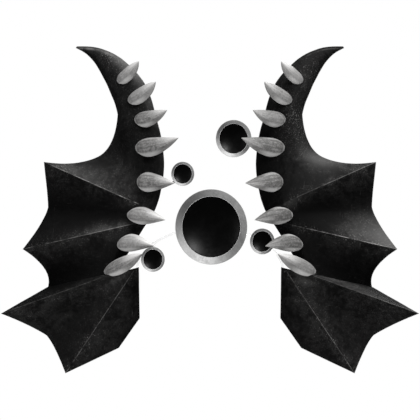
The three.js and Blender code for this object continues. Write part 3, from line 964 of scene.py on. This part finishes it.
def horn_finish(settings):
    """Near-black paint with light and shade painted over it in mottled grey, scratched, and rubbed pale along
    the folds and worn edges.
    """
    name = "scuffed_black_paint_with_painted_light"
    if name in bpy.data.materials:
        return bpy.data.materials[name]
    material, tree, shader, position = new_material(name)
    grime = place_group(tree, "Grime", Position=position, Scale=1.0)
    scratches = place_group(tree, "Scratches", Position=position, Amount=0.14)["Scratches"]
    ragged = times(tree, noise_node(tree, position, 420.0, detail=3.0, roughness=0.75), 1.3 * MM)
    nearest, lines = 1.0, 0.0
    for ridge in RIDGES:
        start, end = ((x * MM, 0, z * MM) for x, z in (ridge.outer, ridge.inner))
        away = place_group(tree, "Fold Line", Position=position, Start=start, End=end)["Distance"]
        core = range_node(tree, plus(tree, away, ragged), 0.5 * MM, 1.3 * MM, 1.0, 0.0)
        lines = most(tree, core, lines)
        nearest = math_node(tree, "MINIMUM", away, nearest)
    broken = range_node(tree, noise_node(tree, position, 70.0, detail=5.0, roughness=0.75), 0.34, 0.6)
    # Fold lines rubbed pale, partly a painted highlight where a raised fold catches the light.
    rub = attribute(tree, "rub")
    line_rub = times(tree, lines, broken, rub)
    scuffed = times(tree, range_node(tree, nearest, 0.5 * MM, 6 * MM, 0.7, 0.0), rub)
    halo = times(tree, range_node(tree, nearest, 0.5 * MM, 20 * MM, 1.0, 0.0), grime["Mottle"])
    edge_rub = times(tree, range_node(tree, attribute(tree, "outline"), 0.72, 1.0), broken, 0.65)
    # Painted light and shade: grey laid over the black on the panels that face the light and kept off the
    # valleys and the undersides of the folds, made uneven by the mottle and paler near the folds.
    lit = math_node(tree, "POWER", attribute(tree, "spray"), 1.7)
    uneven = plus(tree, times(tree, grime["Mottle"], 0.95), times(tree, halo, 0.35), 0.2)
    evened = times(tree, minus(tree, 0.9, uneven), lit)
    dull = math_node(tree, "MULTIPLY", plus(tree, uneven, evened), lit, clamp=True)
    # Flecks of bare paint where it is chipped, and more of them where light is painted on the panels.
    flecked = times(tree, plus(tree, lit, times(tree, halo, 0.2), scuffed), grime["Mottle"])
    flecked = plus(tree, flecked, times(tree, attribute(tree, "chips"), 0.8))
    flecks = math_node(tree, "MULTIPLY", grime["Specks"], flecked, clamp=True)
    bare = opaque(settings.rubbed)
    pale = opaque([mix(lit_and_worn, rubbed, 0.3) for lit_and_worn, rubbed in zip(settings.lit_and_worn, settings.rubbed)])
    # The black turns grey where light is painted on it; scratches, worn edges and fold lines go on top.
    colour = colour_mix(tree, dull, opaque(settings.dark), opaque(settings.lit_and_worn))
    for mask, paint in ((flecks, bare), (scratches, pale), (edge_rub, pale), (line_rub, bare)):
        colour = colour_mix(tree, mask, colour, paint)
    set_surface(tree, shader, colour, grime["Mottle"], 0.6, 0.85)
    shader.inputs["Specular IOR Level"].default_value = 0.05
    height = plus(tree, times(tree, grime["Grain"], 0.35), grime["Mottle"])
    add_bump(tree, shader, minus(tree, height, times(tree, scratches, 0.8)), 0.35, 0.5 * MM)
    return material


def claw_finish(settings):
    """Silver-grey horn that is tarnished in streaks along its body, with light and shade painted on its
    point.
    """
    material, tree, shader, position = new_material("tarnished_silver_claw")
    streak = attribute(tree, "streak", "Vector")
    parts = split(tree, streak)
    below, along = parts["X"], parts["Z"]
    point_light = attribute(tree, "point_light")
    grime = place_group(tree, "Grime", Position=position, Scale=0.9)
    lines = noise_node(tree, stretched(tree, streak, (2.4, 2.4, 2.0)), 2.0, detail=6.0, roughness=0.75)
    blotches = noise_node(tree, position, 380.0, detail=6.0, roughness=0.8)
    tarnish = plus(tree, times(tree, lines, 0.45), times(tree, blotches, 0.55))
    tarnish = times(tree, range_node(tree, tarnish, 0.36, 0.6, 0.45, 1.0), attribute(tree, "tarnish"))

    # The body is tarnished, and the edges near the root are clean; the upper edge is also kept pale out to
    # the point where the point has a painted highlight on top.
    near_root = range_node(tree, along, 0.3, 0.7, 1.0, 0.0)
    upper_edge = times(tree, range_node(tree, below, -0.95, -0.72, 1.0, 0.0), most(tree, point_light, near_root))
    lower_edge = times(tree, range_node(tree, below, 0.45, 0.85), near_root)
    clean = times(tree, most(tree, upper_edge, lower_edge), 0.8)
    body = times(tree, range_node(tree, along, 0.03, 0.12), range_node(tree, along, 0.5, 1.0, 1.0, 0.45))
    tarnish = times(tree, tarnish, times(tree, body, minus(tree, 1.0, clean)))

    # The point carries painted light: with a plus number a painted highlight on top, and with a minus number
    # a painted highlight underneath and painted shade on top.
    point = range_node(tree, along, 0.4, 0.85)
    point_top = times(tree, point, range_node(tree, below, -0.35, 0.35, 1.0, 0.0))
    point_under = minus(tree, point, point_top)
    top = most(tree, point_light, 0.0)
    under = math_node(tree, "MULTIPLY", point_light, -1.0, clamp=True)
    bright = most(tree, times(tree, lower_edge, 0.7), times(tree, point_top, top, 0.5),
                  times(tree, point_under, under, 0.4))
    dark = times(tree, point_top, under, 0.8)
    colour = colour_mix(tree, tarnish, opaque(settings.pale), opaque(settings.smudge))
    # Painted shade on top of the point, then the pale edges near the root and the painted highlight on the
    # point.
    colour = colour_mix(tree, dark, colour, opaque(settings.smudge))
    colour = colour_mix(tree, bright, colour, opaque(settings.pale, 1.6))
    colour = colour_mix(tree, times(tree, grime["Specks"], tarnish), colour, opaque(settings.smudge, 0.5))
    set_surface(tree, shader, colour, tarnish, 0.5, 0.65)
    shader.inputs["Metallic"].default_value = 0.1
    height = plus(tree, times(tree, lines, 0.8), times(tree, grime["Grain"], 0.2))
    add_bump(tree, shader, height, 0.2, 0.5 * MM)
    return material


def rim_finish(settings):
    """Satin grey metal, turned, with a painted sheen on two opposite sides and a little handling wear."""
    material, tree, shader, position = new_material("satin_grey_metal")
    grime = place_group(tree, "Grime", Position=position, Scale=2.0)
    scratches = place_group(tree, "Scratches", Position=position, Amount=0.5)["Scratches"]
    bright = opaque(settings.metal, 1.5)
    # The painted sheen, paler on two opposite sides of the rim; the scratches take the paler colour too.
    turned = colour_mix(tree, attribute(tree, "painted_sheen"), opaque(settings.metal, 0.5), bright)
    dull = colour_mix(tree, 1.0, turned, (0.72, 0.72, 0.72, 1), blend="MULTIPLY")
    colour = colour_mix(tree, grime["Mottle"], turned, dull)
    colour = colour_mix(tree, scratches, colour, bright)
    set_surface(tree, shader, colour, grime["Mottle"], 0.55, 0.68)
    shader.inputs["Metallic"].default_value = 0.15
    add_bump(tree, shader, grime["Grain"], 0.12, 0.2 * MM)
    return material


def bowl_finish(settings):
    """Smooth near-black lacquer with faint dust."""
    material, tree, shader, position = new_material("black_lacquer")
    grime = place_group(tree, "Grime", Position=position, Scale=1.5)
    dusty = times(tree, grime["Mottle"], 0.6)
    colour = colour_mix(tree, dusty, opaque(settings.black), opaque(settings.dust))
    set_surface(tree, shader, colour, grime["Mottle"], 0.29, 0.35)
    shader.inputs["Specular IOR Level"].default_value = 0.13
    add_bump(tree, shader, grime["Grain"], 0.06, 0.1 * MM)
    return material


def circlet_finish(settings):
    """Clear bendable plastic, faintly hazed where it has been handled."""
    material, tree, shader, position = new_material("clear_plastic")
    grime = place_group(tree, "Grime", Position=position, Scale=3.0)
    colour = colour_mix(tree, grime["Mottle"], opaque(settings.clear), opaque(settings.haze))
    set_surface(tree, shader, colour, grime["Mottle"], 0.08, 0.2)
    shader.inputs["Transmission Weight"].default_value = 0.95
    shader.inputs["IOR"].default_value = 1.08
    return material


def floor_finish(settings):
    """Plain pale studio floor that fades into the white surround."""
    material, tree, shader, position = new_material("pale_floor")
    tone = noise_node(tree, position, 3.0, detail=2.0)
    colour = colour_mix(tree, tone, opaque(settings.floor_dark), opaque(settings.floor_pale))
    tree.links.new(colour, shader.inputs["Base Color"])
    shader.inputs["Roughness"].default_value = 0.9
    flat = vector_node(tree, "MULTIPLY", position, (1, 1, 0)).outputs["Vector"]
    away = vector_node(tree, "LENGTH", flat).outputs["Value"]
    shown = range_node(tree, away, settings.floor_fade, settings.floor_reach, 1.0, 0.0)
    underside = tree.nodes.new("ShaderNodeNewGeometry").outputs["Backfacing"]
    tree.links.new(math_node(tree, "SUBTRACT", shown, underside, clamp=True), shader.inputs["Alpha"])
    return material


# Operators


class AddHorns(bpy.types.Operator):
    """Build both horns with their pleated upper wings"""

    bl_idname = "devil_horns.add_horns"
    bl_label = "Add Horns"

    def execute(self, context):
        settings = context.scene.devil_horns_wings
        finish = horn_finish(settings)
        for side in SIDES:
            bm = sided(horn_mesh(side, settings), side)
            add_piece(f"{side}_horn_skin", bm, finish, "horn", f"{side}_horn")
        return {"FINISHED"}


class AddLowerWings(bpy.types.Operator):
    """Build both lower wings, which lap over the feet of the horns"""

    bl_idname = "devil_horns.add_lower_wings"
    bl_label = "Add Lower Wings"

    def execute(self, context):
        settings = context.scene.devil_horns_wings
        finish = horn_finish(settings)
        for side in SIDES:
            bm = sided(lower_wing_mesh(side, settings), side)
            add_piece(f"{side}_lower_wing_skin", bm, finish, "horn", f"{side}_lower_wing")
        return {"FINISHED"}


class AddClaws(bpy.types.Operator):
    """Build the row of claws on each horn"""

    bl_idname = "devil_horns.add_claws"
    bl_label = "Add Claws"

    def execute(self, context):
        settings = context.scene.devil_horns_claws
        finish = claw_finish(settings)
        for side in SIDES:
            for number, claw in enumerate(CLAWS, start=1):
                bm = sided(claw_mesh(claw, side, settings), side)
                add_piece(f"{side}_claw_{number}", bm, finish, "claw", f"{side}_spike_{number}")
        return {"FINISHED"}


class AddRims(bpy.types.Operator):
    """Spin the funnel-shaped metal rims"""

    bl_idname = "devil_horns.add_rims"
    bl_label = "Add Rims"

    def execute(self, context):
        settings = context.scene.devil_horns_dishes
        finish = rim_finish(settings)
        for name in DISHES:
            rim = add_piece(f"{name}_rim", rim_mesh(name, settings), finish, "rim", f"rim_{name}")
            rim.modifiers.new("Flat Faces", "WEIGHTED_NORMAL")
        return {"FINISHED"}


class AddDishes(bpy.types.Operator):
    """Spin the black bowls, two of them with a stem to the nearest horn"""

    bl_idname = "devil_horns.add_dishes"
    bl_label = "Add Dishes"

    def execute(self, context):
        settings = context.scene.devil_horns_dishes
        finish = bowl_finish(settings)
        for name in DISHES:
            add_piece(f"{name}_bowl", bowl_mesh(name, settings), finish, "bowl", f"dish_{name}")
        return {"FINISHED"}


class AddCirclet(bpy.types.Operator):
    """Build the clear carrier, melted smooth where its rods join"""

    bl_idname = "devil_horns.add_circlet"
    bl_label = "Add Circlet"

    def execute(self, context):
        finish = circlet_finish(context.scene.devil_horns_dishes)
        piece = add_piece("circlet_wire", circlet_mesh(), finish, "wire", "circlet")
        melt = piece.modifiers.new("Melt", "REMESH")
        melt.mode = "VOXEL"
        melt.voxel_size = MELT_GRAIN
        melt.use_smooth_shade = True
        flow = piece.modifiers.new("Flow", "SMOOTH")
        flow.factor = MELT_FLOW
        flow.iterations = MELT_ROUNDS
        return {"FINISHED"}


def aim(obj, target):
    obj.rotation_euler = (target - obj.location).to_track_quat("-Z", "Y").to_euler()


def add_camera(scene, target, settings):
    data = bpy.data.cameras.new("camera")
    data.sensor_width = SENSOR_WIDTH
    data.lens = data.sensor_width * settings.distance / settings.view_width
    camera = bpy.data.objects.new("camera", data)
    scene.collection.objects.link(camera)
    camera.location = (0, settings.wings_y - settings.distance, settings.view_height)
    aim(camera, target)
    scene.camera = camera


def add_light(scene, target, light):
    data = bpy.data.lights.new(light.name, "AREA")
    data.shape = "DISK"
    data.size = light.width
    data.energy = light.power
    lamp = bpy.data.objects.new(light.name, data)
    scene.collection.objects.link(lamp)
    lamp.location = light.place
    aim(lamp, target)


def add_floor(scene, settings):
    bm = bmesh.new()
    bmesh.ops.create_grid(bm, x_segments=1, y_segments=1, size=settings.floor_reach)
    bmesh.ops.translate(bm, verts=bm.verts, vec=(0, 0, CAD_BOX[0][2] - settings.drop))
    mesh = bpy.data.meshes.new("floor")
    bm.to_mesh(mesh)
    bm.free()
    floor = bpy.data.objects.new("floor", mesh)
    mesh.materials.append(floor_finish(settings))
    scene.collection.objects.link(floor)
    floor.visible_glossy = False


def white_surround(scene, ambient):
    """Shows white behind the headpiece and lights it softly from all round."""
    world = bpy.data.worlds.new("studio")
    world.use_nodes = True
    tree = world.node_tree
    background = tree.nodes["Background"]
    background.inputs["Color"].default_value = (1, 1, 1, 1)
    path = tree.nodes.new("ShaderNodeLightPath").outputs
    seen = most(tree, path["Is Camera Ray"], path["Is Transmission Ray"])
    tree.links.new(range_node(tree, seen, 0.0, 1.0, ambient, 1.0), background.inputs["Strength"])
    scene.world = world


class AddStage(bpy.types.Operator):
    """Set the camera, the soft lights, the pale floor and the white surround"""

    bl_idname = "devil_horns.add_stage"
    bl_label = "Add Stage"

    def execute(self, context):
        scene = context.scene
        settings = scene.devil_horns_stage
        target = Vector((0, settings.wings_y, settings.view_height))
        add_camera(scene, target, settings)
        for light in LIGHTS:
            add_light(scene, target, light)
        add_floor(scene, settings)
        white_surround(scene, settings.ambient)
        scene.view_settings.view_transform = "Standard"
        return {"FINISHED"}


class HeadpiecePanel(bpy.types.Panel):
    """Lists the pieces of the headpiece in the order that they are made"""

    bl_idname = "VIEW3D_PT_devil_horns"
    bl_label = "Devil Horns"
    bl_space_type = "VIEW_3D"
    bl_region_type = "UI"
    bl_category = "Devil Horns"

    def draw(self, context):
        for operator in OPERATORS:
            self.layout.operator(operator.bl_idname)


SETTINGS = {
    "devil_horns_wings": HornSettings,
    "devil_horns_claws": ClawSettings,
    "devil_horns_dishes": DishSettings,
    "devil_horns_stage": StageSettings,
}
OPERATORS = (AddHorns, AddLowerWings, AddClaws, AddRims, AddDishes, AddCirclet, AddStage)


def register():
    for name, settings in SETTINGS.items():
        bpy.utils.register_class(settings)
        setattr(bpy.types.Scene, name, PointerProperty(type=settings))
    for operator in OPERATORS:
        bpy.utils.register_class(operator)
    bpy.utils.register_class(HeadpiecePanel)


def unregister():
    bpy.utils.unregister_class(HeadpiecePanel)
    for operator in reversed(OPERATORS):
        bpy.utils.unregister_class(operator)
    for name, settings in reversed(SETTINGS.items()):
        delattr(bpy.types.Scene, name)
        bpy.utils.unregister_class(settings)


def main():
    register()
    bpy.ops.devil_horns.add_horns()
    bpy.ops.devil_horns.add_lower_wings()
    bpy.ops.devil_horns.add_claws()
    bpy.ops.devil_horns.add_rims()
    bpy.ops.devil_horns.add_dishes()
    bpy.ops.devil_horns.add_circlet()
    bpy.ops.devil_horns.add_stage()


if __name__ == "__main__":
    main()
